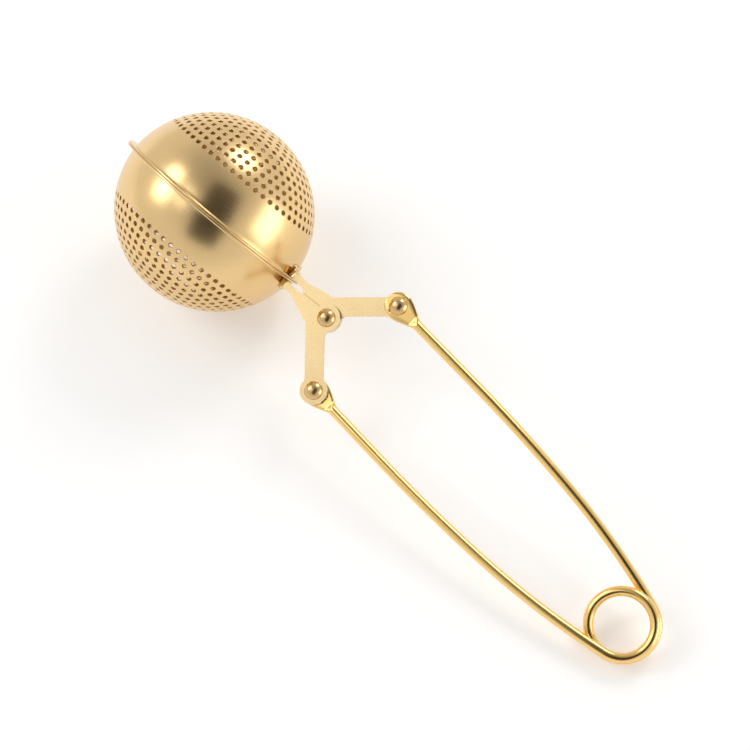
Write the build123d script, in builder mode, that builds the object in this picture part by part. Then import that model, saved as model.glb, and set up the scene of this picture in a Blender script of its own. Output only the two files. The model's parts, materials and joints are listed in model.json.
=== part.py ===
"""A snap-ball tea infuser: two perforated half balls on bell-crank levers, opened by squeezing a sprung wire handle.

Lengths are millimetres. The infuser lies as it rests on a table, leaning on the side of its left
half: +Z is up, +X runs along the table from the ball to the coil of the handle, and +Y points
towards the right half. The origin is on the table, under the middle of the whole infuser.
"""

from math import acos, atan2, cos, degrees, hypot, pi, radians, sin, sqrt
import os

from build123d import *

os.makedirs("parts", exist_ok=True)

# Ball
ball_r = 22.5  # outside of the pressed sheet
sheet = 0.45  # thickness of the pressed sheet
cap_shortfall = 0.7  # by which each half is shallower than half a ball
flange_width = 1.7  # of the out-turned flange, beyond the ball
flange_gap = 0.06  # between the two closed flanges
flange_fillet = 0.28  # where the flange turns into the bowl

# Perforation: rings of holes about each pole
hole_r = 0.575
ring_pitch = 2.0  # from ring to ring, along the surface
hole_pitch = 2.1  # from hole to hole, along a ring
plain_band = 11.3  # along the surface, from the widest part of the ball to the last ring

# Levers
plate = 1.0  # thickness of both lever plates and of the flattened wire ends
plate_gap = 0.06  # between plates that slide on each other
plates_above_centre = 3.0  # from the ball's centre up to the plane between the plates
neck_reach = 13.4  # from the ball's surface to the main pivot
handle_turn = 5.0  # degrees that the handle is turned from the split plane
arm_angle = 54.0  # degrees from the handle's centre line to each outer rivet
arm_length = 15.9  # from the main pivot to each outer rivet
arm_slant = 45.0  # degrees from the handle's centre line to the edges of an arm
arm_width = 4.1
boss_r = 3.05  # round ends of the levers and of the wire's eyes
neck_inner = 0.65  # from the handle's centre line to the near edge of a neck
neck_width = 1.5
slit_flare = 8.8  # from the main pivot to where the slit between the necks starts to narrow
slit_root = 7.6  # from the main pivot to where the slit ends
boss_margin = 0.2  # between a round end and the corner where an edge runs into it
edge_dip = 0.6  # by which the inner edge crosses the centre line before the main pivot
hip_along = 1.0  # from the main pivot to the outer corner of an arm, along the arm
hip_reach = 4.6  # from the main pivot back to the corner where hip and neck meet
hip_drop = 1.0  # of that corner below the arm's outer edge
waist_reach = 6.3  # from the main pivot back to the widest part of the neck's root
waist_bulge = 0.75
lever_corner_r = 0.5
lever_hollow_r = 1.2  # where an edge runs into a round end
bend_r = 0.5  # inside of the bend from neck to foot
strap_below = 2.0  # end of the bent strap, below the ball's centre
foot_thickness = 0.5
foot_height = 6.0
foot_width = 2.6
foot_drop = 2.0  # middle of the foot, below the ball's centre
foot_corner_r = 1.0

# Rivets
shank_r = 1.2
running_clearance = 0.05  # radial, around a rivet's shank
open_clearance = 0.35  # radial, in the eye of the right leg
head_r = 2.0
dome_height = 1.3
back_height = 0.7

# Wire handle
wire_r = 1.1
coil_reach = 90.2  # from the main pivot to the middle of the coil
coil_r_top = 6.75  # to the middle of the wire, where the left leg joins
coil_r_bottom = 7.2  # to the middle of the wire, where the right leg joins
turn_gap = 0.2  # between one turn and the next
leg_slope_mid = 4.3  # degrees towards the centre line, where the leg's bend tightens
leg_slope_end = 14.0  # degrees towards the centre line, where a leg joins the coil
leg_bend_r = 400.0  # of the long gentle bow
leg_lead = 6.0  # degrees of coil that are one piece with the left leg
leg_tail = 66.0  # degrees of coil that are one piece with the right leg
seam_gap = 0.05
paddle_flat = 4.5  # from a rivet to the end of the flattened wire
paddle_ramp = 1.2  # length over which the wire swells from flat to round
paddle_shoulder = 2.0  # from a rivet to where the eye starts to taper
paddle_shoulder_r = 2.6
paddle_neck = 4.7  # from a rivet to where the eye is down to the wire
paddle_neck_r = 1.54
past_wire = 0.1  # by which a shape that cuts the wire reaches past it

# Sizes that follow from the ones above
flange_r = ball_r + flange_width
flange_face = flange_gap / 2 + sheet  # along Y, from the split plane to the back of a flange
cap_centre = flange_gap / 2 - cap_shortfall  # along Y, from the split plane
rings = int((ball_r * pi / 2 - plain_band) / ring_pitch)  # besides the hole at the pole
plate_low = plate_gap / 2
plate_high = plate_low + plate
drill_length = 4 * plate
pivot_x = ball_r + neck_reach * cos(radians(handle_turn))
pivot_y = -neck_reach * sin(radians(handle_turn))
rivet_u = arm_length * cos(radians(arm_angle))
rivet_v = arm_length * sin(radians(arm_angle))

# The coil starts at the left leg, on top, and turns anticlockwise and down until it runs out
# into the right leg.
coil_start = leg_slope_end - 90
coil_end = 360 + 90 - leg_slope_end
coil_sweep = coil_end - coil_start
seam = coil_end - leg_tail
coil_turn_drop = 2 * wire_r + turn_gap
coil_drop = coil_turn_drop * coil_sweep / 360
coil_cone = degrees(atan2(coil_r_bottom - coil_r_top, coil_drop))


def coil_w(angle):
    """Height of the middle of the wire above the plane between the levers."""
    return coil_drop / 2 - coil_turn_drop * (angle - coil_start) / 360


def coil_r(angle):
    """Distance of the middle of the wire from the middle of the coil."""
    share = (angle - coil_start) / coil_sweep
    return coil_r_top + share * (coil_r_bottom - coil_r_top)


# Rest: the closed infuser leans on the side of its left half and on the rim of the flange, and
# the underside of its coil touches the table. Directions are in the ball's own frame, where +X is
# in the split plane, +Y towards the right half and +Z square to the levers.
turn = radians(handle_turn)
rim_offset = flange_face - cap_centre
lean = acos(ball_r / hypot(flange_r, rim_offset)) + atan2(rim_offset, flange_r)
centre_height = ball_r + cap_centre * sin(lean)
settling_steps = 8


def table_up(dip):
    """Straight up from the table, where dip is the sine of the handle's fall towards the coil."""
    return Vector(-dip, sin(lean), sqrt(cos(lean) ** 2 - dip**2))


def coil_point(angle):
    """Middle of the coil's wire."""
    along = coil_reach + coil_r(angle) * cos(radians(angle))
    across = coil_r(angle) * sin(radians(angle))
    return Vector(
        pivot_x + along * cos(turn) + across * sin(turn),
        pivot_y - along * sin(turn) + across * cos(turn),
        plates_above_centre + coil_w(angle),
    )


coil_points = [coil_point(angle) for angle in range(int(coil_start), int(coil_end))]
dip = 0.0
for step in range(settling_steps):
    lowest = min(coil_points, key=table_up(dip).dot)
    dip += (table_up(dip).dot(lowest) - wire_r + centre_height) / lowest.X
table_z = table_up(dip)
table_x = (Vector(1, 0, 0) - table_z * table_z.X).normalized()
table_y = table_z.cross(table_x)
near_end = flange_r * hypot(table_x.X, table_x.Z) + flange_face * abs(table_x.Y)
far_end = max(table_x.dot(point) for point in coil_points) + wire_r

# Frames: the ball's, and the handle's
ball_centre = Vector((near_end - far_end) / 2, 0, centre_height)
ball = Plane(
    origin=ball_centre,
    x_dir=(table_x.X, table_y.X, table_z.X),
    z_dir=(table_x.Z, table_y.Z, table_z.Z),
)
handle = Plane(
    origin=ball.from_local_coords((pivot_x, pivot_y, plates_above_centre)),
    x_dir=ball.x_dir * cos(turn) - ball.y_dir * sin(turn),
    z_dir=ball.z_dir,
)
LEFT = -1
RIGHT = 1


def finish(part, name):
    """Label a piece and write it."""
    part.label = name
    export_step(part, f"parts/{name}.step")


# Half balls


def cap_origin(side):
    """Centre of the sphere that one half is pressed to."""
    return ball.from_local_coords((0, side * cap_centre, 0))


def half_profile(side):
    """Cross-section of one half, from the pole round to the rim of the flange."""
    mating_face = side * flange_gap / 2
    with BuildSketch(ball) as profile:
        with Locations((0, side * cap_centre)):
            Circle(ball_r)
            Circle(ball_r - sheet, mode=Mode.SUBTRACT)
        with Locations((flange_r / 2, mating_face + side * ball_r / 2)):
            Rectangle(flange_r, ball_r, mode=Mode.INTERSECT)
        bowl_mouth = ball_r - sheet
        with Locations(((bowl_mouth + flange_r) / 2, mating_face + side * sheet / 2)):
            Rectangle(flange_r - bowl_mouth, sheet)
        root = (ball_r, mating_face + side * sheet, 0)
        fillet(profile.vertices().sort_by_distance(root)[0], radius=flange_fillet)
    return profile


def hole_places(side):
    """Places of the holes, each facing straight out of the sheet."""
    pole = ball.y_dir * side
    places = []
    for ring in range(rings + 1):
        from_pole = ring * ring_pitch / ball_r
        ring_length = 2 * pi * ball_r * sin(from_pole)
        count = max(1, round(ring_length / hole_pitch))
        for step in range(count):
            around = 2 * pi * step / count
            across = ball.x_dir * cos(around) + ball.z_dir * sin(around)
            outward = pole * cos(from_pole) + across * sin(from_pole)
            places.append(Plane(origin=cap_origin(side) + outward * (ball_r + sheet), z_dir=outward))
    return places


def half_ball(side):
    """One perforated half with its flange."""
    profile = half_profile(side)
    with BuildPart() as half:
        add(profile.sketch)
        revolve(axis=Axis(ball_centre, ball.y_dir))
        with Locations(*hole_places(side)):
            Hole(radius=hole_r, depth=3 * sheet)
    return half


strainer_half_left = half_ball(LEFT)
finish(strainer_half_left.part, "strainer_half_left")

strainer_half_right = half_ball(RIGHT)
finish(strainer_half_right.part, "strainer_half_right")


# Levers: flat bell cranks whose necks bend down into feet welded to the half balls


def along_arm(along, out):
    """Point of the right lever: along its arm's direction, and out from the main pivot."""
    slant = radians(arm_slant)
    return (along * cos(slant) - out * sin(slant), along * sin(slant) + out * cos(slant))


rivet_along = arm_length * cos(radians(arm_angle - arm_slant))
rivet_out = arm_length * sin(radians(arm_angle - arm_slant))
arm_inner = rivet_out - arm_width / 2
arm_outer = rivet_out + arm_width / 2
neck_outer = neck_inner + neck_width
neck_end = neck_reach - bend_r - plate  # where the flat neck turns down


def lever_corners(side):
    """Corners of a lever's plate, in the handle's frame."""
    corners = [
        (-neck_end, neck_inner),
        (-slit_flare, neck_inner),
        (-slit_root, 0),
        (-boss_r - boss_margin, -edge_dip),
        along_arm(0, arm_inner),
        along_arm(rivet_along, arm_inner),
        along_arm(rivet_along, arm_outer),
        along_arm(hip_along, arm_outer),
        (-hip_reach, arm_outer - hip_drop),
        (-waist_reach, neck_outer + waist_bulge),
        (-slit_flare, neck_outer),
        (-neck_end, neck_outer),
    ]
    return [(u, side * v) for u, v in corners]


def lever_plate(side, underside):
    """Outline of a lever, on the plane of its underside."""
    spot = rivet_along - sqrt(boss_r**2 - (arm_width / 2) ** 2)
    hollows = [along_arm(spot, arm_inner), along_arm(spot, arm_outer), along_arm(boss_r, arm_inner)]
    with BuildSketch(handle.offset(underside)) as outline:
        with BuildLine():
            FilletPolyline(*lever_corners(side), radius=lever_corner_r, close=True)
        make_face()
        with Locations((0, 0), (rivet_u, side * rivet_v)):
            Circle(boss_r)
        for u, v in hollows:
            corner = outline.vertices().sort_by_distance((u, side * v, 0))[0]
            fillet(corner, radius=lever_hollow_r)
    return outline


def neck_bend(side, underside):
    """Side view of the strap that turns from the neck down the ball, at the neck's inner edge."""
    side_view = Plane(
        origin=handle.from_local_coords((0, side * neck_inner, 0)),
        x_dir=handle.x_dir,
        z_dir=-handle.y_dir,
    )
    reach = bend_r + plate
    centre_u = -neck_end
    centre_w = underside - bend_r
    strap_end = -plates_above_centre - strap_below
    with BuildSketch(side_view) as strap:
        with Locations((centre_u, centre_w)):
            Circle(reach)
            Circle(bend_r, mode=Mode.SUBTRACT)
        with Locations((centre_u - reach / 2, centre_w + reach / 2)):
            Rectangle(reach, reach, mode=Mode.INTERSECT)
        with Locations((centre_u - bend_r - plate / 2, (centre_w + strap_end) / 2)):
            Rectangle(plate, centre_w - strap_end)
    return strap


def lever(side, underside):
    """One bell crank with its foot."""
    foot_side = Plane(origin=ball_centre, x_dir=ball.y_dir, z_dir=ball.x_dir)
    strap = neck_bend(side, underside)
    outline = lever_plate(side, underside)
    rivet = Location(handle) * Location((rivet_u, side * rivet_v, 0))
    with BuildPart() as crank:
        with BuildSketch(foot_side.offset(ball_r / 2)):
            with Locations((side * (neck_inner + foot_width / 2), -foot_drop)):
                RectangleRounded(foot_width, foot_height, foot_corner_r)
        extrude(amount=ball_r)
        with Locations(cap_origin(side)):
            Sphere(ball_r + foot_thickness, mode=Mode.INTERSECT)
        extrude(strap.sketch, amount=-side * neck_width)
        with Locations(cap_origin(side)):
            Sphere(ball_r, mode=Mode.SUBTRACT)
        extrude(outline.sketch, amount=plate)
        with Locations(handle, rivet):
            Cylinder(shank_r + running_clearance, drill_length, mode=Mode.SUBTRACT)
    return crank


lever_left = lever(LEFT, plate_low)
finish(lever_left.part, "lever_left")

lever_right = lever(RIGHT, -plate_high)
finish(lever_right.part, "lever_right")


# Rivets, each with a domed head on top and a flatter one below, all square to the levers


def rivet_at(u, v):
    """One rivet through two plates at a point of the handle's frame."""
    side_view = Plane(
        origin=handle.from_local_coords((u, v, 0)), x_dir=handle.x_dir, z_dir=-handle.y_dir
    )
    dome_sphere_r = (head_r**2 + dome_height**2) / (2 * dome_height)
    back_sphere_r = (head_r**2 + back_height**2) / (2 * back_height)
    with BuildPart() as rivet:
        with BuildSketch(side_view):
            with BuildLine():
                Polyline((0, plate_high + dome_height), (0, -plate_high - back_height))
                RadiusArc((0, -plate_high - back_height), (head_r, -plate_high), -back_sphere_r)
                Polyline(
                    (head_r, -plate_high),
                    (shank_r, -plate_high),
                    (shank_r, plate_high),
                    (head_r, plate_high),
                )
                RadiusArc((head_r, plate_high), (0, plate_high + dome_height), -dome_sphere_r)
            make_face()
        revolve(axis=Axis(side_view.origin, handle.z_dir))
    return rivet


pivot_rivet = rivet_at(0, 0)
finish(pivot_rivet.part, "pivot_rivet")

rivet_left = rivet_at(rivet_u, LEFT * rivet_v)
finish(rivet_left.part, "rivet_left")

rivet_right = rivet_at(rivet_u, RIGHT * rivet_v)
finish(rivet_right.part, "rivet_right")


# Wire handle: two legs with flattened eyes, and the coil between them


def coil_line(start, stop):
    """Middle of the coil's wire from one angle to another."""
    around = radians(start)
    place = Plane(
        origin=handle.from_local_coords((coil_reach, 0, coil_w(start))),
        x_dir=handle.x_dir * cos(around) + handle.y_dir * sin(around),
        z_dir=-handle.z_dir,
    )
    with BuildLine() as turns:
        Helix(
            pitch=coil_turn_drop / cos(radians(coil_cone)),
            height=coil_w(start) - coil_w(stop),
            radius=coil_r(start),
            cone_angle=coil_cone,
            lefthand=True,
        )
    return turns.line.moved(place.location)


def leg_line(side, eye_w, coil_angle, start):
    """Middle of a leg's wire: straight, then two arcs that tighten until they touch the coil."""
    joint_r = coil_r(coil_angle)
    mid = radians(leg_slope_mid)
    end = radians(leg_slope_end)
    run = coil_reach - rivet_u + joint_r * sin(end)
    rise = coil_w(coil_angle) - eye_w
    slope = atan2(rise, run)
    frame = Plane(
        origin=handle.from_local_coords((rivet_u, side * rivet_v, eye_w)),
        x_dir=handle.x_dir * cos(slope) + handle.z_dir * sin(slope),
        z_dir=handle.z_dir * cos(slope) - handle.x_dir * sin(slope),
    )
    inward = rivet_v - joint_r * cos(end) - leg_bend_r * (1 - cos(mid))
    tight_r = inward / (cos(mid) - cos(end))
    bend_start = hypot(run, rise) - tight_r * (sin(end) - sin(mid)) - leg_bend_r * sin(mid)
    with BuildLine(frame) as line:
        straight = Line((start, 0), (bend_start, 0))
        bow = JernArc(straight @ 1, straight % 1, leg_bend_r, -side * leg_slope_mid)
        JernArc(bow @ 1, bow % 1, tight_r, -side * (leg_slope_end - leg_slope_mid))
    return line.line


def eye(side, underside):
    """Outline of the flattened end of a leg, widest about its rivet."""
    level = Plane(
        origin=handle.from_local_coords((rivet_u, side * rivet_v, underside)),
        x_dir=handle.x_dir,
        z_dir=handle.z_dir,
    )
    with BuildSketch(level) as outline:
        Circle(boss_r)
        with Locations((paddle_shoulder, 0)):
            Circle(paddle_shoulder_r)
        with Locations((paddle_neck, 0)):
            Circle(paddle_neck_r)
        make_hull()
    return outline


def ramp(side, eye_w):
    """Side view of what is pressed away above the wire where it swells from flat to round."""
    side_view = Plane(
        origin=handle.from_local_coords((rivet_u, side * rivet_v, eye_w)),
        x_dir=handle.x_dir,
        z_dir=-handle.y_dir,
    )
    with BuildSketch(side_view) as wedge:
        with BuildLine():
            Polyline(
                (0, plate / 2),
                (paddle_flat, plate / 2),
                (paddle_flat + paddle_ramp, wire_r + past_wire),
                (paddle_flat + paddle_ramp, 2 * wire_r),
                (0, 2 * wire_r),
                close=True,
            )
        make_face()
        mirror(about=Plane.XZ)
    return wedge


def leg(side, path, eye_w, end_angle, hole_clearance):
    """One leg of the handle with its flattened eye, cut off square across the coil at an angle."""
    outline = eye(side, eye_w - plate / 2)
    wedges = ramp(side, eye_w)
    rivet = Location(handle) * Location((rivet_u, side * rivet_v, 0))
    with BuildPart() as wire:
        with BuildSketch(Plane(origin=path @ 0, z_dir=path % 0)):
            Circle(wire_r)
        sweep(path=path)
        split(bisect_by=across_coil(end_angle), keep=Keep.TOP if side == RIGHT else Keep.BOTTOM)
        extrude(wedges.sketch, amount=2 * wire_r, both=True, mode=Mode.SUBTRACT)
        extrude(outline.sketch, amount=plate)
        with Locations(rivet):
            Cylinder(shank_r + hole_clearance, drill_length, mode=Mode.SUBTRACT)
    return wire


def across_coil(angle):
    """Plane square across the coil's wire, facing down the coil."""
    line = coil_line(angle, angle + 1)
    return Plane(origin=line @ 0, z_dir=line % 0)


def whole_leg(side, eye_w, coil_from, coil_to):
    """Middle of a leg's wire from its eye to the coil's circle, and on along the coil."""
    coil_angle = coil_from if side == LEFT else coil_to
    bend = leg_line(side, eye_w, coil_angle, paddle_flat)
    return Wire([*bend.edges(), *coil_line(coil_from, coil_to).edges()])


lead_end = coil_start + leg_lead
eye_w_left = -plate_low - plate / 2
left_path = whole_leg(LEFT, eye_w_left, coil_start, lead_end + leg_lead)
handle_leg_left = leg(LEFT, left_path, eye_w_left, lead_end, running_clearance)
finish(handle_leg_left.part, "handle_leg_left")

coil_path = coil_line(lead_end, seam)
with BuildPart() as handle_coil:
    with BuildSketch(Plane(origin=coil_path @ 0, z_dir=coil_path % 0)):
        Circle(wire_r)
    sweep(path=coil_path, is_frenet=True)
finish(handle_coil.part, "handle_coil")

# The last part of the coil turns with the right leg.
tail_start = seam + degrees(seam_gap / coil_r(seam))
eye_w_right = plate_low + plate / 2
right_path = whole_leg(RIGHT, eye_w_right, tail_start - leg_lead, coil_end)
handle_leg_right = leg(RIGHT, right_path, eye_w_right, tail_start, open_clearance)
finish(handle_leg_right.part, "handle_leg_right")
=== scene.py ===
# %% [markdown]
# # A snap-ball tea infuser in gold-plated steel
# Two perforated half balls close on each other. Each is welded to a stamped lever, the levers
# cross on a rivet, and a sprung wire handle with a coil at its end opens them when it is squeezed.
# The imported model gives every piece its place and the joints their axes. This script adds what a
# camera sees: real punched holes, eased edges, drawn wire and plated metal.

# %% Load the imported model
import json
from math import asin, atan2, cos, degrees, hypot, pi, radians, sin, sqrt

import bmesh
import bpy
from mathutils import Matrix, Vector


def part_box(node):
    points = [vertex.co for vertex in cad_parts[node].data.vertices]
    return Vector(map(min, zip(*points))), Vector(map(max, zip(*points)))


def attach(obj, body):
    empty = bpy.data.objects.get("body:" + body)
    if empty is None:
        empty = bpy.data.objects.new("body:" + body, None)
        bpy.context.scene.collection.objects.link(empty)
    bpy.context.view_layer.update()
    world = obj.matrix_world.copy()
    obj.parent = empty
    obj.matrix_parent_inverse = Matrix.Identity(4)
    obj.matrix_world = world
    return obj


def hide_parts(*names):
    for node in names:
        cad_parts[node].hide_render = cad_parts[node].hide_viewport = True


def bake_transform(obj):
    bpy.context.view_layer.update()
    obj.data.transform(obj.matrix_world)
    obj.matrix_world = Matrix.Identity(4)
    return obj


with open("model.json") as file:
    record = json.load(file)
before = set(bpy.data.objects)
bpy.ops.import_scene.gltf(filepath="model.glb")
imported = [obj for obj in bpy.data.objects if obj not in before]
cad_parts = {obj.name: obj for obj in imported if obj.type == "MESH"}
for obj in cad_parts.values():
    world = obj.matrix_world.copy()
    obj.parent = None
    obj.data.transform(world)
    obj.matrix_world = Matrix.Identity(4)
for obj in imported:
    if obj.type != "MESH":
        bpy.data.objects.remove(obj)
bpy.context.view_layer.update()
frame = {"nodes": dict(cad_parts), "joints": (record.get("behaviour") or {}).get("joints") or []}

print("nodes:", sorted(frame["nodes"]))

# %% [markdown]
# ## Directions of the infuser
# The infuser lies on its side, so its levers aren't level. Modelling is easier in the infuser's
# own directions and in millimetres. The joints say where those directions are: the hinge of the
# jaws is square to the levers, and the handle runs from that hinge to the middle of the coil. A
# matrix for each group of pieces then carries finished meshes to their place, once.

# %% Frames of the handle and of the ball
mm = 0.001
handle_turn = radians(5)  # the handle is turned this much from the plane between the half balls

joints = {joint["name"]: joint for joint in frame["joints"]}
lever_up = -Vector(joints["jaw_hinge"]["axis"])
main_pivot = Vector(joints["jaw_hinge"]["pos_m"])
coil_middle = Vector(joints["coil_flex"]["pos_m"])
handle_along = (coil_middle - main_pivot).normalized()
ball_along = Matrix.Rotation(handle_turn, 3, lever_up) @ handle_along
half_boxes = [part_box("strainer_half_left"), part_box("strainer_half_right")]
ball_middle = (half_boxes[0][0] + half_boxes[0][1] + half_boxes[1][0] + half_boxes[1][1]) / 4


def frame_at(origin, along, up):
    """Matrix from millimetres along, across and up at an origin to the row frame."""
    turned = Matrix((along, up.cross(along), up)).transposed().to_4x4()
    return Matrix.Translation(origin) @ turned @ Matrix.Scale(mm, 4)


handle_frame = frame_at(main_pivot, handle_along, lever_up)
coil_reach = (coil_middle - main_pivot).length / mm
print(f"coil {coil_reach:.1f} mm from the main pivot, ball middle at {ball_middle / mm}")

# %% [markdown]
# ## Camera
# The camera looks down on the infuser from the side of the handle, close enough that the ball
# looks larger than the coil. A long lens keeps the round ball round. The camera is made first, so
# every later piece can be judged through it.

# %% Camera
camera_place = Vector((131.94, -149.54, 383.56)) * mm
camera_aim = Vector((-0.32262, 0.34786, -0.88029))
camera_tilt = radians(-0.97)
camera_lens = 93.5

camera = bpy.data.objects.new("camera", bpy.data.cameras.new("camera"))
bpy.context.scene.collection.objects.link(camera)
camera.data.lens = camera_lens
camera.location = camera_place
aimed = camera_aim.to_track_quat("-Z", "Y").to_matrix()
camera.rotation_euler = (aimed @ Matrix.Rotation(camera_tilt, 3, "Z")).to_euler()
camera.data.clip_start = 0.01
camera.data.clip_end = 10
bpy.context.scene.camera = camera
print("camera looks down at", round(degrees(asin(-camera_aim.normalized().z)), 1), "degrees")

# %% [markdown]
# ## From bmesh to piece
# Every new piece goes through the same steps at the end: its mesh is carried to its place, shaded
# smooth, and given its finish. All but the wire are then attached to the body that they ride on. A
# weighted normal modifier lets the large faces decide how light falls, so a narrow rounded edge
# doesn't bend the shading of the flat beside it. Round sheet full of holes needs more: its normals
# are set to point straight out from the middle of the ball, or every hole would bend the shine
# around it.


# %% Finish a piece
def as_piece(bm, name, place, finish):
    """Object of a bmesh, carried to its place and shaded smooth."""
    mesh = bpy.data.meshes.new(name)
    bm.to_mesh(mesh)
    bm.free()
    mesh.transform(place)
    mesh.shade_smooth()
    mesh.materials.append(finish)
    piece = bpy.data.objects.new(name, mesh)
    bpy.context.scene.collection.objects.link(piece)
    weighted = piece.modifiers.new("weighted_normals", "WEIGHTED_NORMAL")
    weighted.weight = 60
    print(f"{name}: {len(mesh.polygons)} faces")
    return piece


nearly = 0.8  # how straight out a normal must point to count as part of the ball


def round_normals(piece, place, clear):
    """Light falls on the round sheet as on a ball, also beside a hole."""
    piece.modifiers.clear()
    back = place.inverted()
    turn = place.to_3x3().normalized()
    normals = []
    for vertex in piece.data.vertices:
        spot = back @ vertex.co
        way = turn @ spot.normalized()
        faces = vertex.normal.dot(way)
        if spot.z > clear and abs(faces) > nearly:
            normals.append(way if faces > 0 else -way)
        else:
            normals.append(vertex.normal.copy())
    piece.data.normals_split_custom_set_from_vertices(normals)


def sharp_edges(bm, angle):
    """Edges where two faces meet at more than an angle in degrees."""
    limit = radians(angle)
    paired = [edge for edge in bm.edges if len(edge.link_faces) == 2]
    return [edge for edge in paired if edge.calc_face_angle() > limit]


def ease(bm, edges, width, segments=2):
    """Round edges over, as tumbling and plating do."""
    bmesh.ops.bevel(
        bm, geom=edges, offset=width, offset_type="OFFSET", affect="EDGES",
        segments=segments, profile=0.5, material=-1, clamp_overlap=True,
    )


# %% [markdown]
# ## Shader maths
# A finish is a small sum: a base value, more where the grain is high, less at an edge. Written as
# Python expressions it stays readable. Part wraps one output socket, and the operators add the
# nodes. Colours go through Mix nodes, because a Math node would turn them grey.


# %% Sockets that can be added and multiplied
class Finish:
    """A metal's node tree, with one way to add any node."""

    def __init__(self, name):
        self.material = bpy.data.materials.new(name)
        self.material.use_nodes = True
        self.tree = self.material.node_tree
        self.shader = self.tree.nodes["Principled BSDF"]

    def node(self, kind, settings=None, **values):
        """Add a node: settings first, then values or links for its inputs."""
        made = self.tree.nodes.new(kind)
        for key, value in (settings or {}).items():
            if key == "stops":
                set_stops(made.color_ramp, value)
            else:
                setattr(made, key, value)
        for key, value in values.items():
            plug(self, made.inputs[input_index(made, key)], value)
        return made

    def out(self, made, output=0):
        return Part(self, made.outputs[output])

    def mix(self, share, first, second):
        """Blend two colours."""
        made = self.node("ShaderNodeMix", {"data_type": "RGBA"})
        plug(self, made.inputs[0], share)
        plug(self, made.inputs[6], first)
        plug(self, made.inputs[7], second)
        return Part(self, made.outputs[2])


def set_stops(ramp, stops):
    """Give a colour ramp its stops as (position, grey)."""
    while len(ramp.elements) < len(stops):
        ramp.elements.new(1)
    for element, (position, grey) in zip(ramp.elements, stops):
        element.position = position
        element.color = (grey, grey, grey, 1)


def input_index(made, key):
    """An input's number: by position when the key is like in0, else by its name."""
    if key.startswith("in") and key[2:].isdigit():
        return int(key[2:])
    names = [socket.name.lower().replace(" ", "_") for socket in made.inputs]
    return names.index(key)


def plug(finish, socket, value):
    """Link a Part, or set a plain value."""
    if isinstance(value, Part):
        finish.tree.links.new(value.socket, socket)
    elif isinstance(value, tuple) and len(value) == 3 and socket.type == "RGBA":
        socket.default_value = (*value, 1)
    else:
        socket.default_value = value


class Part:
    """One output socket that takes part in sums."""

    def __init__(self, finish, socket):
        self.finish = finish
        self.socket = socket

    def maths(self, operation, first, second):
        settings = {"operation": operation}
        return self.finish.out(self.finish.node("ShaderNodeMath", settings, in0=first, in1=second))

    def __add__(self, other):
        return self.maths("ADD", self, other)

    __radd__ = __add__

    def __mul__(self, other):
        return self.maths("MULTIPLY", self, other)

    __rmul__ = __mul__

    def __sub__(self, other):
        return self.maths("SUBTRACT", self, other)

    def __rsub__(self, other):
        return self.maths("SUBTRACT", other, self)


print("shader maths ready")

# %% [markdown]
# ## Plated finishes
# All metal here is one gold plating over different surfaces. The pressed sheet is satin, with very
# fine lines that run round it from spinning. The stamped levers are satin with an even grain. The
# wire was drawn through a die, so its lines run along it, and it shines more. The rivet heads are
# darker. The walls of the holes and the inside of the ball are painted dark brown, as painted shade
# for the hollow ball's inside. Each finish varies a little in colour and in gloss. An image texture
# could hold this too, but noise in the object's own millimetres never repeats or blurs.


# %% One metal, told apart by its grain
cloud_share = 0.6  # of the change between the two golds; fine lines make the rest
inner_shade_keenness = 14.0  # how sharply the painted shade inside the ball starts, per millimetre
painted_shade_r = 22.4  # closer to the middle of the ball than this, the sheet gets painted shade


def plated(name, pale, deep, gloss, grain, stretch, depth, turned=None, way=None, inner_shade=None):
    """Plated metal: two golds, a roughness and its spread, a grain of a size in millimetres, and
    painted shade inside a ball.
    """
    finish = Finish(name)
    if way:
        source = finish.out(finish.node("ShaderNodeAttribute", {"attribute_name": way}), 1)
    else:
        source = finish.out(finish.node("ShaderNodeTexCoord"), 3)
    turn = finish.node("ShaderNodeMapping", vector=source)
    if turned:
        turn.inputs["Rotation"].default_value = turned.inverted().to_euler()
    turn.inputs["Scale"].default_value = (1 / mm, 1 / mm, 1 / mm)
    place = finish.out(turn)
    lined = finish.node("ShaderNodeVectorMath", {"operation": "MULTIPLY"}, in0=place, in1=stretch)
    lines = finish.node(
        "ShaderNodeTexNoise", vector=finish.out(lined), scale=1 / grain, detail=3.0, roughness=0.6
    )
    clouds = finish.node("ShaderNodeTexNoise", vector=place, scale=0.11, detail=2.0)
    specks = finish.node("ShaderNodeTexNoise", vector=place, scale=4.0, detail=2.0)
    line = finish.out(lines)
    cloud = finish.out(clouds)
    speck = finish.out(specks)
    shade = cloud * cloud_share + line * (1 - cloud_share)
    colour = finish.mix(shade, pale, deep)
    # Painted shade: the colour turns dark brown closer to the ball's middle than a radius, inside
    # the ball and on the hole walls.
    if inner_shade:
        middle, radius, shade_colour = inner_shade
        reach = finish.node(
            "ShaderNodeVectorMath", {"operation": "DISTANCE"}, in0=source, in1=middle
        )
        shade_share = (finish.out(reach, 1) * (-1 / mm) + radius) * inner_shade_keenness
        colour = finish.mix(shade_share, colour, shade_colour)
    plug(finish, finish.shader.inputs["Base Color"], colour)
    base, spread = gloss
    rough = base + (cloud - 0.5) * spread + (speck - 0.5) * (spread * 0.5) + (line - 0.5) * spread
    plug(finish, finish.shader.inputs["Roughness"], rough)
    finish.shader.inputs["Metallic"].default_value = 1.0
    bump = finish.node("ShaderNodeBump", height=line + speck * 0.3, distance=depth * mm)
    bump.inputs["Strength"].default_value = 1.0
    plug(finish, finish.shader.inputs["Normal"], finish.out(bump))
    print(name, "has", len(finish.tree.nodes), "nodes")
    return finish.material


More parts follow.
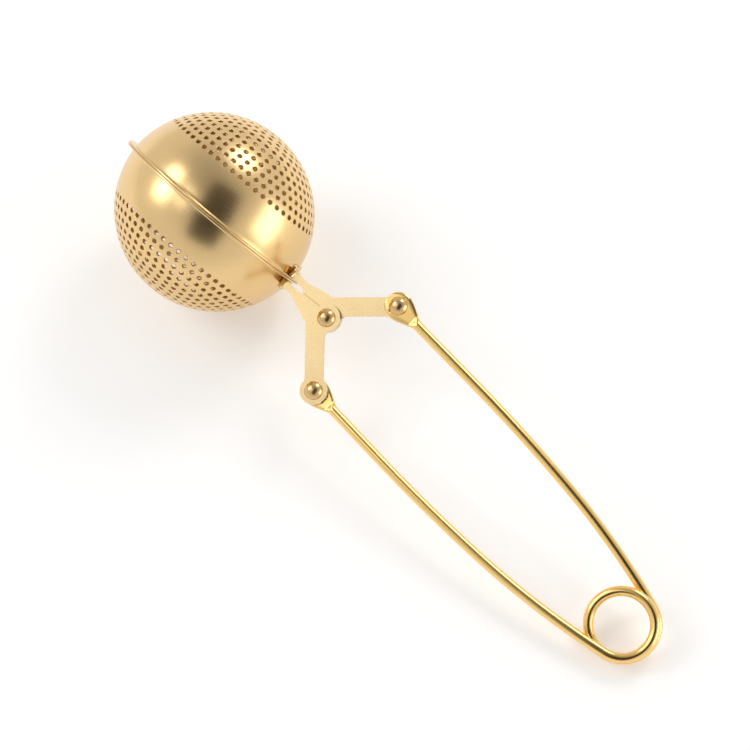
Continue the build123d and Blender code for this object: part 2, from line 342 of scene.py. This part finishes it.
pole_turn = Matrix((ball_along, lever_up.cross(ball_along), lever_up)).transposed()
sheet_gold = plated(
    "sheet_gold", (0.85, 0.61, 0.31), (0.76, 0.52, 0.23), (0.26, 0.05),
    0.35, (0.12, 3.0, 0.12), 0.004,
    # painted shade: dark brown inside the ball and on the walls of its holes
    turned=pole_turn, inner_shade=(tuple(ball_middle * mm), painted_shade_r, (0.26, 0.16, 0.075)),
)
lever_gold = plated(
    "lever_gold", (0.86, 0.66, 0.36), (0.79, 0.58, 0.29), (0.27, 0.06), 0.12, (1.0, 1.0, 1.0), 0.004
)
wire_gold = plated(
    "wire_gold", (0.98, 0.69, 0.28), (0.90, 0.58, 0.18), (0.19, 0.05),
    0.25, (2.0, 2.0, 0.06), 0.003, way="drawn",
)
rivet_gold = plated(
    "rivet_gold", (0.76, 0.53, 0.26), (0.64, 0.42, 0.18), (0.25, 0.06), 0.2, (1.0, 1.0, 1.0), 0.004
)

# %% [markdown]
# ## The perforated half balls
# Each half was pressed from thin sheet, punched in rings about its pole, and turned out at its
# mouth into a flange. Cutting hundreds of holes with a boolean leaves long thin faces that spoil
# the shine. Here each ring starts as one cell, a square with a round hole, laid on the ball and
# spun about the pole. Rings are bridged to each other, the plain band and the flange are grown
# from the last ring, and the sheet gets its wall only then. All edges are eased at the end.

# %% Sizes of a half ball, in millimetres
ball_r = 22.5
sheet = 0.45
cap_shortfall = 0.7
flange_width = 1.7
flange_gap = 0.06
flange_fillet = 0.28
hole_r = 0.575
ring_pitch = 2.0
hole_pitch = 2.1
rings = 12
band_share = 0.86  # of a ring's pitch that its cells take, the rest bridges to the next ring
hole_corners = 16
sphere_z = flange_gap / 2 - cap_shortfall  # the sphere's middle, from the plane between the halves


def on_sphere(polar, azimuth):
    """Point of the pressed sheet, by its angles from the pole and around it."""
    flat = ball_r * sin(polar)
    return Vector((flat * cos(azimuth), flat * sin(azimuth), ball_r * cos(polar) + sphere_z))


def polar_of(point):
    """Angle of a point from the pole."""
    return atan2(hypot(point.x, point.y), point.z - sphere_z)


# %% One ring of punched cells
cell_polar = band_share * ring_pitch / ball_r / 2  # half of a cell's height, as an angle


def hole_edge(direction, polar):
    """Corner of a round hole, turned down from the pole to its ring."""
    up_high = sqrt(ball_r**2 - hole_r**2)
    at_pole = Vector((direction.x * hole_r, direction.y * hole_r, up_high))
    return Matrix.Rotation(polar, 3, "Y") @ at_pole + Vector((0, 0, sphere_z))


def cell_edge(direction, polar, half_step):
    """Corner on the square border of a cell."""
    spread = 1 / max(abs(direction.x), abs(direction.y))
    return on_sphere(polar + direction.x * spread * cell_polar, direction.y * spread * half_step)


def punched_ring(ring):
    """Mesh of one ring of cells about the pole."""
    bm = bmesh.new()
    bmesh.ops.create_circle(bm, segments=hole_corners, radius=1)
    inner = list(bm.verts)
    grown = bmesh.ops.extrude_edge_only(bm, edges=bm.edges[:])["geom"]
    outer = [item for item in grown if isinstance(item, bmesh.types.BMVert)]
    polar = ring * ring_pitch / ball_r
    count = max(1, round(2 * pi * ball_r * sin(polar) / hole_pitch))
    for vert in outer:
        if ring:
            vert.co = cell_edge(vert.co.copy(), polar, pi / count)
        else:
            vert.co = on_sphere(cell_polar, atan2(vert.co.y, vert.co.x))
    for vert in inner:
        vert.co = hole_edge(vert.co.copy(), polar)
    if ring:
        everything = bm.verts[:] + bm.edges[:] + bm.faces[:]
        bmesh.ops.spin(
            bm, geom=everything, cent=(0, 0, 0), axis=(0, 0, 1), dvec=(0, 0, 0),
            angle=2 * pi * (count - 1) / count, steps=count - 1, use_duplicate=True,
        )
        bmesh.ops.remove_doubles(bm, verts=bm.verts[:], dist=0.01)
    mesh = bpy.data.meshes.new("ring")
    bm.to_mesh(mesh)
    bm.free()
    return mesh, count


# %% Rings bridged, then the plain band and the flange grown from the last one
plain_steps = 14
fillet_steps = 4
flange_steps = 3


def open_edges(bm, polar):
    """Edges of the mesh's border at one angle from the pole."""
    near = cell_polar / 20
    border = [edge for edge in bm.edges if edge.is_boundary]
    return [
        edge for edge in border
        if all(abs(polar_of(vert.co) - polar) < near for vert in edge.verts)
    ]


def mouth_profile():
    """Radius and height of each ring of corners from the last holes round to the flange's rim."""
    flange_top = flange_gap / 2 + sheet
    fillet_z = flange_top + flange_fillet
    fillet_mid = sqrt((ball_r + flange_fillet) ** 2 - (fillet_z - sphere_z) ** 2)
    meets = atan2(fillet_mid, fillet_z - sphere_z)
    first = rings * ring_pitch / ball_r + cell_polar
    points = []
    for step in range(1, plain_steps + 1):
        polar = first + (meets - first) * step / plain_steps
        points.append((ball_r * sin(polar), ball_r * cos(polar) + sphere_z))
    for step in range(1, fillet_steps + 1):
        share = step / fillet_steps
        turned = pi + meets * (1 - share)
        points.append((
            fillet_mid + flange_fillet * sin(turned), fillet_z + flange_fillet * cos(turned)
        ))
    for step in range(1, flange_steps + 1):
        reach = fillet_mid + (ball_r + flange_width - fillet_mid) * step / flange_steps
        points.append((reach, flange_top))
    return points


def half_ball_skin():
    """Outer skin of a half ball, its pole along +Z."""
    bm = bmesh.new()
    holes = 0
    for ring in range(rings + 1):
        mesh, count = punched_ring(ring)
        bm.from_mesh(mesh)
        bpy.data.meshes.remove(mesh)
        holes += count
    for ring in range(rings):
        polar = ring * ring_pitch / ball_r
        lower = open_edges(bm, polar + cell_polar)
        upper = open_edges(bm, polar + ring_pitch / ball_r - cell_polar)
        bmesh.ops.bridge_loops(bm, edges=lower + upper)
    edge_loop = open_edges(bm, rings * ring_pitch / ball_r + cell_polar)
    for reach, height in mouth_profile():
        grown = bmesh.ops.extrude_edge_only(bm, edges=edge_loop)["geom"]
        for item in grown:
            if isinstance(item, bmesh.types.BMVert):
                flat = Vector((item.co.x, item.co.y)).normalized() * reach
                item.co = (flat.x, flat.y, height)
        edge_loop = [item for item in grown if isinstance(item, bmesh.types.BMEdge)]
    bmesh.ops.recalc_face_normals(bm, faces=bm.faces[:])
    print(holes, "holes in one half,", len(bm.faces), "faces in its skin")
    return bm


# %% Walls, eased holes and both halves in place
hole_lip = 0.09
rim_ease = 0.12
keen_angle = 50  # degrees
smooth_from = 1.2  # above the parting plane, where the sheet is part of a ball
skin_mesh = bpy.data.meshes.new("skin")
skin = half_ball_skin()
skin.to_mesh(skin_mesh)
skin.free()


def rim_edges(edges):
    """Those of some edges that lie on the flange."""
    at_rim = ball_r + flange_width / 2
    return [edge for edge in edges if hypot(edge.verts[0].co.x, edge.verts[0].co.y) > at_rim]


def perforated_half(side_name, side):
    """One half: the skin gets its wall, its edges are eased, and it is carried to its place."""
    bm = bmesh.new()
    bm.from_mesh(skin_mesh)
    bmesh.ops.solidify(bm, geom=bm.faces[:], thickness=sheet)
    corners = sharp_edges(bm, keen_angle)
    rim = set(rim_edges(corners))
    ease(bm, [edge for edge in corners if edge not in rim], hole_lip)
    ease(bm, rim_edges(sharp_edges(bm, keen_angle)), rim_ease)
    pole = lever_up.cross(ball_along) * side
    place = frame_at(ball_middle, ball_along, pole)
    piece = as_piece(bm, f"perforated_half_{side_name}", place, sheet_gold)
    round_normals(piece, place, smooth_from)
    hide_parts(f"strainer_half_{side_name}")
    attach(piece, f"{side_name}_jaw")
    return piece


perforated_half("left", -1)
perforated_half("right", 1)

# %% [markdown]
# ## Stamped levers
# The levers were stamped from plate and bent down onto the ball, and tumbling eased their edges.
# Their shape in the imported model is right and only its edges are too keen, so a copy of each
# node is welded, its flats are freed of the triangles, and a small bevel goes along every edge.

# %% Levers with eased edges
weld = 0.0005
flat_angle = radians(0.4)
lever_ease = 0.16


def eased_copy(node, name, width, finish):
    """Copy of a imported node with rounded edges."""
    bm = bmesh.new()
    bm.from_mesh(frame["nodes"][node].data)
    bmesh.ops.scale(bm, vec=(1 / mm, 1 / mm, 1 / mm), verts=bm.verts[:])
    bmesh.ops.remove_doubles(bm, verts=bm.verts[:], dist=weld)
    bmesh.ops.dissolve_limit(
        bm, angle_limit=flat_angle, verts=bm.verts[:], edges=bm.edges[:],
        use_dissolve_boundaries=False,
    )
    ease(bm, sharp_edges(bm, 40), width, segments=3)
    piece = as_piece(bm, name, Matrix.Scale(mm, 4), finish)
    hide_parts(node)
    return piece


for side_name in ("left", "right"):
    lever = f"lever_{side_name}"
    crank = eased_copy(lever, f"stamped_{lever}", lever_ease, lever_gold)
    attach(crank, f"{side_name}_jaw")

# %% [markdown]
# ## Rivets
# Each rivet is a shank with a domed head on top and a flatter one below. A lathe would make it, so
# spin does: half of its outline, turned once about the rivet's axis. The head's foot is rounded,
# which gives the thin dark line that a real head has where it meets the plate.

# %% Rivets turned from their outline
plate_high = 1.03  # from the plane between the levers to the outside of either plate
shank_r = 1.2
head_r = 2.0
dome_height = 1.3
back_height = 0.7
head_foot = 0.22  # height of the short upright edge of a head
dome_steps = 9
turn_steps = 48


def dome(height, side):
    """Outline of a head from its pole out to its edge."""
    rise = height - head_foot
    bend = (head_r**2 + rise**2) / (2 * rise)
    full = asin(head_r / bend)
    for step in range(dome_steps + 1):
        angle = full * step / dome_steps
        yield Vector((bend * sin(angle), 0, side * (plate_high + height - bend * (1 - cos(angle)))))


def rivet(name, node, body, along, across):
    """One rivet at a place of the handle."""
    top = list(dome(dome_height, 1))
    back = list(dome(back_height, -1))
    neck = [Vector((head_r, 0, plate_high)), Vector((shank_r, 0, plate_high))]
    low_neck = [Vector((shank_r, 0, -plate_high)), Vector((head_r, 0, -plate_high))]
    outline = top + neck + low_neck + back[::-1]
    bm = bmesh.new()
    verts = [bm.verts.new(point) for point in outline]
    edges = [bm.edges.new(pair) for pair in zip(verts, verts[1:])]
    bmesh.ops.spin(
        bm, geom=verts + edges, cent=(0, 0, 0), axis=(0, 0, 1), dvec=(0, 0, 0),
        angle=2 * pi, steps=turn_steps, use_merge=True,
    )
    bmesh.ops.remove_doubles(bm, verts=bm.verts[:], dist=0.001)
    bmesh.ops.recalc_face_normals(bm, faces=bm.faces[:])
    ease(bm, sharp_edges(bm, 30), 0.07)
    place = handle_frame @ Matrix.Translation((along, across, 0))
    piece = as_piece(bm, name, place, rivet_gold)
    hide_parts(node)
    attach(piece, body)
    return piece


arm_tip = handle_frame.inverted() @ Vector(joints["left_leg_hinge"]["pos_m"])
rivet_u = arm_tip.x
rivet_v = -arm_tip.y
print(f"outer rivets {rivet_u:.2f} mm along and {rivet_v:.2f} mm out from the main pivot")
rivet("domed_rivet_pivot", "pivot_rivet", "left_jaw", 0, 0)
rivet("domed_rivet_left", "rivet_left", "left_jaw", rivet_u, -rivet_v)
rivet("domed_rivet_right", "rivet_right", "right_jaw", rivet_u, rivet_v)

# %% [markdown]
# ## The wire handle
# One length of spring wire makes both legs and the coil, and its two ends are pressed flat into
# eyes. A curve with a round bevel would give the wire but not the eyes. So the wire is drawn out:
# a circle is carried from one station to the next along the middle line, and squeezed flat and
# wide at the stations of an eye. Each corner also keeps where it lay on the straight wire, so
# the drawing lines follow the bends.

# %% Middle line of the wire, in the handle's millimetres
wire_r = 1.1
coil_r_top = 6.75
coil_r_bottom = 7.2
turn_gap = 0.2
leg_slope_mid = radians(4.3)
leg_slope_end = radians(14)
leg_bend_r = 400.0
coil_start = leg_slope_end - pi / 2
coil_end = 2 * pi + pi / 2 - leg_slope_end
coil_sweep = coil_end - coil_start
turn_drop = 2 * wire_r + turn_gap
coil_stations = 150
leg_step = 1.5  # longest stretch of a leg between stations


def coil_point(angle):
    """Middle of the wire in the coil, which widens and falls as it winds."""
    share = (angle - coil_start) / coil_sweep
    reach = coil_r_top + share * (coil_r_bottom - coil_r_top)
    height = turn_drop * (coil_sweep / 2 - (angle - coil_start)) / (2 * pi)
    return Vector((coil_reach + reach * cos(angle), reach * sin(angle), height))


def leg_points(side, eye_w, coil_angle):
    """Middle of a leg from its rivet to the coil: straight, a long bow, then a tighter one."""
    joint = coil_point(coil_angle)
    run = joint.x - rivet_u
    rise = joint.z - eye_w
    inward = rivet_v - abs(joint.y) - leg_bend_r * (1 - cos(leg_slope_mid))
    tight_r = inward / (cos(leg_slope_mid) - cos(leg_slope_end))
    straight = (
        hypot(run, rise) - tight_r * (sin(leg_slope_end) - sin(leg_slope_mid))
        - leg_bend_r * sin(leg_slope_mid)
    )
    stretches = [
        (straight, 0.0),
        (leg_bend_r * leg_slope_mid, 1 / leg_bend_r),
        (tight_r * (leg_slope_end - leg_slope_mid), 1 / tight_r),
    ]
    here = Vector((0, 0))
    slope = 0.0
    flat = [here.copy()]
    for length, bend in stretches:
        count = int(length / leg_step) + 1
        for step in range(count):
            turned = bend * length / count
            chord = length / count
            here = here + Vector((cos(slope + turned / 2), -sin(slope + turned / 2))) * chord
            slope += turned
            flat.append(here)
    lean = atan2(rise, run)
    return [
        Vector((rivet_u + p.x * cos(lean), side * (rivet_v + p.y), eye_w + p.x * sin(lean)))
        for p in flat
    ]


def smooth_heights(points, first, last, rounds=30):
    """Even out the heights where a leg runs into the coil, as springy wire does."""
    for _ in range(rounds):
        for i in range(first, last):
            points[i].z = (points[i - 1].z + points[i].z * 2 + points[i + 1].z) / 4


eye_gap = 0.015
joint_blend = 9  # stations each side of a leg's joint with the coil
eye_w = plate_high / 2 + eye_gap  # middle of an eye, from the plane between the levers
left_leg = leg_points(-1, -eye_w, coil_start)
right_leg = leg_points(1, eye_w, coil_end)
coil_turns = [coil_start + coil_sweep * i / coil_stations for i in range(1, coil_stations)]
coil_line = [coil_point(angle) for angle in coil_turns]
wire_line = left_leg + coil_line + right_leg[::-1]
for joint in (len(left_leg), len(left_leg) + len(coil_line)):
    smooth_heights(wire_line, joint - joint_blend, joint + joint_blend)
wire_length = sum((b - a).length for a, b in zip(wire_line, wire_line[1:]))
print(f"{len(wire_line)} stations, {wire_length:.0f} mm of wire")

# %% Sections of the wire: round, and pressed flat at the eyes
eye_r = 3.05
eye_half = 0.5  # half of an eye's thickness
eye_outline = ((0.0, 3.05), (0.9, 2.97), (2.0, 2.66), (4.5, 1.62), (5.0, 1.36), (5.7, 1.1))
ramp_end = 5.7
ramp_start = 4.5
section_corners = 28
tip_steps = 9


def between(value, table):
    """Read a value off a line through (place, value) pairs."""
    for (x0, y0), (x1, y1) in zip(table, table[1:]):
        if value <= x1:
            return y0 + (y1 - y0) * (value - x0) / (x1 - x0)
    return table[-1][1]


def section(along):
    """Half width, half height and squareness of the wire at a distance from its rivet."""
    press = min(1, max(0, (ramp_end - along) / (ramp_end - ramp_start)))
    half_height = wire_r + (eye_half - wire_r) * press
    return between(max(along, 0), eye_outline), half_height, 2 + 8 * press**2


def squeezed(corner, half_width, half_height, power):
    """Corner of the unit circle moved to a section that is wide, low and squarish."""
    size = (abs(corner.x) ** power + abs(corner.y) ** power) ** (-1 / power)
    return Vector((corner.x * size * half_width, corner.y * size * half_height, 0))


def eye_stations(leg):
    """Stations of a flat eye, from its round tip to the end of the ramp."""
    run = (leg[1] - leg[0]).normalized()
    for step in range(1, tip_steps + 1):
        angle = pi / 2 * step / tip_steps
        yield leg[0] - run * eye_r * cos(angle), eye_r * sin(angle), eye_half, 10
    for along in (0.9, 2.0, 3.2, 4.0, 4.3, 4.5, 4.7, 5.0, 5.3, 5.5, 5.7, 6.0):
        yield (leg[0] + run * along, *section(along))


def all_stations():
    """Every station of the wire with its section, from one eye to the other."""
    left_eye = list(eye_stations(left_leg))
    right_eye = list(eye_stations(right_leg))
    far = ramp_end + 1.0
    middle = [
        (point, wire_r, wire_r, 2) for point in wire_line
        if (point - left_leg[0]).length > far and (point - right_leg[0]).length > far
    ]
    return left_eye + middle + right_eye[::-1]


# %% Draw the wire out
def draw_wire():
    """Mesh of the whole wire, with its unbent place kept as the attribute drawn."""
    stations = all_stations()
    bm = bmesh.new()
    drawn = bm.verts.layers.float_vector.new("drawn")
    round_place = bm.verts.layers.float_vector.new("corner")
    bmesh.ops.create_circle(bm, segments=section_corners, radius=1, cap_ends=True)
    for vert in bm.verts:
        vert[round_place] = vert.co
    loop = bm.verts[:]
    edges = bm.edges[:]
    travelled = 0.0
    for i, (point, half_width, half_height, power) in enumerate(stations):
        before = stations[max(i - 1, 0)][0]
        after = stations[min(i + 1, len(stations) - 1)][0]
        if i:
            travelled += (point - before).length
            grown = bmesh.ops.extrude_edge_only(bm, edges=edges)["geom"]
            loop = [item for item in grown if isinstance(item, bmesh.types.BMVert)]
            edges = [item for item in grown if isinstance(item, bmesh.types.BMEdge)]
        ahead = (after - before).normalized()
        side = ahead.cross(Vector((0, 0, 1))).normalized()
        up = side.cross(ahead)
        turned = Matrix((side, up, ahead)).transposed()
        for vert in loop:
            corner = Vector(vert[round_place])
            vert.co = point + turned @ squeezed(corner, half_width, half_height, power)
            vert[drawn] = (corner.x * wire_r * mm, corner.y * wire_r * mm, travelled * mm)
    bmesh.ops.edgeloop_fill(bm, edges=edges)
    bm.verts.layers.float_vector.remove(round_place)
    bmesh.ops.recalc_face_normals(bm, faces=bm.faces[:])
    return bm


def bore(piece, along, across, radius):
    """Cut a round hole square to the levers through an eye."""
    bm = bmesh.new()
    bmesh.ops.create_cone(
        bm, cap_ends=True, segments=40, radius1=radius, radius2=radius, depth=3 * plate_high
    )
    drill_mesh = bpy.data.meshes.new("drill")
    bm.to_mesh(drill_mesh)
    bm.free()
    drill_mesh.transform(handle_frame @ Matrix.Translation((along, across, 0)))
    drill = bpy.data.objects.new("drill", drill_mesh)
    bpy.context.scene.collection.objects.link(drill)
    cut = piece.modifiers.new("bore", "BOOLEAN")
    cut.operation = "DIFFERENCE"
    cut.object = drill
    bpy.context.view_layer.update()
    graph = bpy.context.evaluated_depsgraph_get()
    cut_mesh = bpy.data.meshes.new_from_object(piece.evaluated_get(graph))
    piece.modifiers.remove(cut)
    piece.data = cut_mesh
    bpy.data.objects.remove(drill)


running_clearance = 0.05
open_clearance = 0.35
wire = as_piece(draw_wire(), "spring_wire_handle", handle_frame, wire_gold)
wire.modifiers.clear()
bore(wire, rivet_u, -rivet_v, shank_r + running_clearance)
bore(wire, rivet_u, rivet_v, shank_r + open_clearance)
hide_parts("handle_leg_left", "handle_coil", "handle_leg_right")
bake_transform(wire)
wire.modifiers.new("weighted_normals", "WEIGHTED_NORMAL").weight = 60

# %% [markdown]
# ## Table and light
# Polished metal shows what stands around it, so the light matters as much as the finish. The
# infuser lies on a white table that glows a little, as a light table does. Four soft lamps stand
# where the ball would mirror them: a window behind, a strip on the left, a card on the right, and
# a weak one above for the flat levers. The surroundings are bright low down and dimmer above.

# %% Table
floor_mesh = bpy.data.meshes.new("table")
bm = bmesh.new()
bmesh.ops.create_grid(bm, x_segments=1, y_segments=1, size=3.0)
bm.to_mesh(floor_mesh)
bm.free()
table = bpy.data.objects.new("table", floor_mesh)
bpy.context.scene.collection.objects.link(table)
table.location.z = -0.00005
table_white = bpy.data.materials.new("table_white")
table_white.use_nodes = True
table_shader = table_white.node_tree.nodes["Principled BSDF"]
table_shader.inputs["Base Color"].default_value = (0.93, 0.925, 0.92, 1)
table_shader.inputs["Roughness"].default_value = 0.7
table_shader.inputs["Emission Color"].default_value = (1, 0.985, 0.98, 1)
table_shader.inputs["Emission Strength"].default_value = 0.24
floor_mesh.materials.append(table_white)

# %% Lamps
scene = bpy.context.scene
scene.view_settings.view_transform = "Standard"


def lamp(name, place, aim, width, height, power, colour=(1, 1, 1), roll=0):
    """Large soft lamp that faces a point, in metres and watts."""
    light = bpy.data.lights.new(name, "AREA")
    light.shape = "RECTANGLE"
    light.size = width
    light.size_y = height
    light.energy = power
    light.color = colour
    holder = bpy.data.objects.new(name, light)
    scene.collection.objects.link(holder)
    holder.location = place
    faced = (Vector(aim) - Vector(place)).to_track_quat("-Z", "Y").to_matrix()
    holder.rotation_euler = (faced @ Matrix.Rotation(roll, 3, "Z")).to_euler()
    return holder


lamp("window", (-0.06, 0.68, 0.66), (-0.03, 0, 0.02), 0.34, 0.3, 1.5, (1, 0.99, 0.97))
lamp("left_strip", (-0.61, -0.34, 0.64), (-0.054, 0, 0.022), 0.3, 0.55, 1.8, roll=radians(45))
lamp("right_card", (0.78, 0.31, 0.2), (-0.054, 0, 0.022), 0.6, 0.42, 1.7)
lamp("ceiling_card", (-0.26, -0.45, 0.85), (-0.02, 0, 0.01), 0.36, 0.42, 0.5)

# %% [markdown]
# ## Dark flag
# Gold looks like gold only if something dark is mirrored in it. A dark card hangs behind the
# camera, so it isn't seen itself, and the ball shows it as brown patches beside the rim. A dark
# spot painted on the sheet would stay in place as the ball turns, and so look false.

# %% Flag behind the camera
flag_away = 0.85
flag_width = 0.6
flag_length = 1.2
flag_mesh = bpy.data.meshes.new("flag")
bm = bmesh.new()
bmesh.ops.create_grid(bm, x_segments=1, y_segments=1, size=0.5)
bmesh.ops.scale(bm, vec=(flag_width, flag_length, 1), verts=bm.verts[:])
bm.to_mesh(flag_mesh)
bm.free()
flag = bpy.data.objects.new("flag", flag_mesh)
scene.collection.objects.link(flag)
flag_way = Vector((0.387, -0.399, 0.831))
flag_along = Vector((-0.11, 0.874, 0.474))
flag.location = ball_middle * mm + flag_way * flag_away
flag_across = flag_along.cross(flag_way).normalized()
flag_turn = Matrix((flag_across, flag_way.cross(flag_across).normalized(), flag_way)).transposed()
flag.rotation_euler = flag_turn.to_euler()
flag_black = bpy.data.materials.new("flag_black")
flag_black.use_nodes = True
flag_shader = flag_black.node_tree.nodes["Principled BSDF"]
flag_shader.inputs["Base Color"].default_value = (0.02, 0.018, 0.015, 1)
flag_shader.inputs["Roughness"].default_value = 0.9
flag_mesh.materials.append(flag_black)
print("the flag hangs", round(flag.location.z, 2), "m above the table")

# %% [markdown]
# ## Surroundings
# The sky of the studio is one smooth gradient from the horizon up, so nothing in it has an edge
# that the metal could show.

# %% Surroundings
world = bpy.data.worlds.new("studio")
scene.world = world
world.use_nodes = True
tree = world.node_tree
sky = tree.nodes["Background"]
where = tree.nodes.new("ShaderNodeTexCoord")
split = tree.nodes.new("ShaderNodeSeparateXYZ")
ramp = tree.nodes.new("ShaderNodeValToRGB")
set_stops(ramp.color_ramp, [(0.0, 1.0), (0.5, 0.95), (0.75, 0.7), (1.0, 0.45)])
tree.links.new(where.outputs["Generated"], split.inputs[0])
tree.links.new(split.outputs[2], ramp.inputs[0])
tree.links.new(ramp.outputs[0], sky.inputs["Color"])
sky.inputs["Strength"].default_value = 0.86
print("the surroundings glow at", sky.inputs["Strength"].default_value)
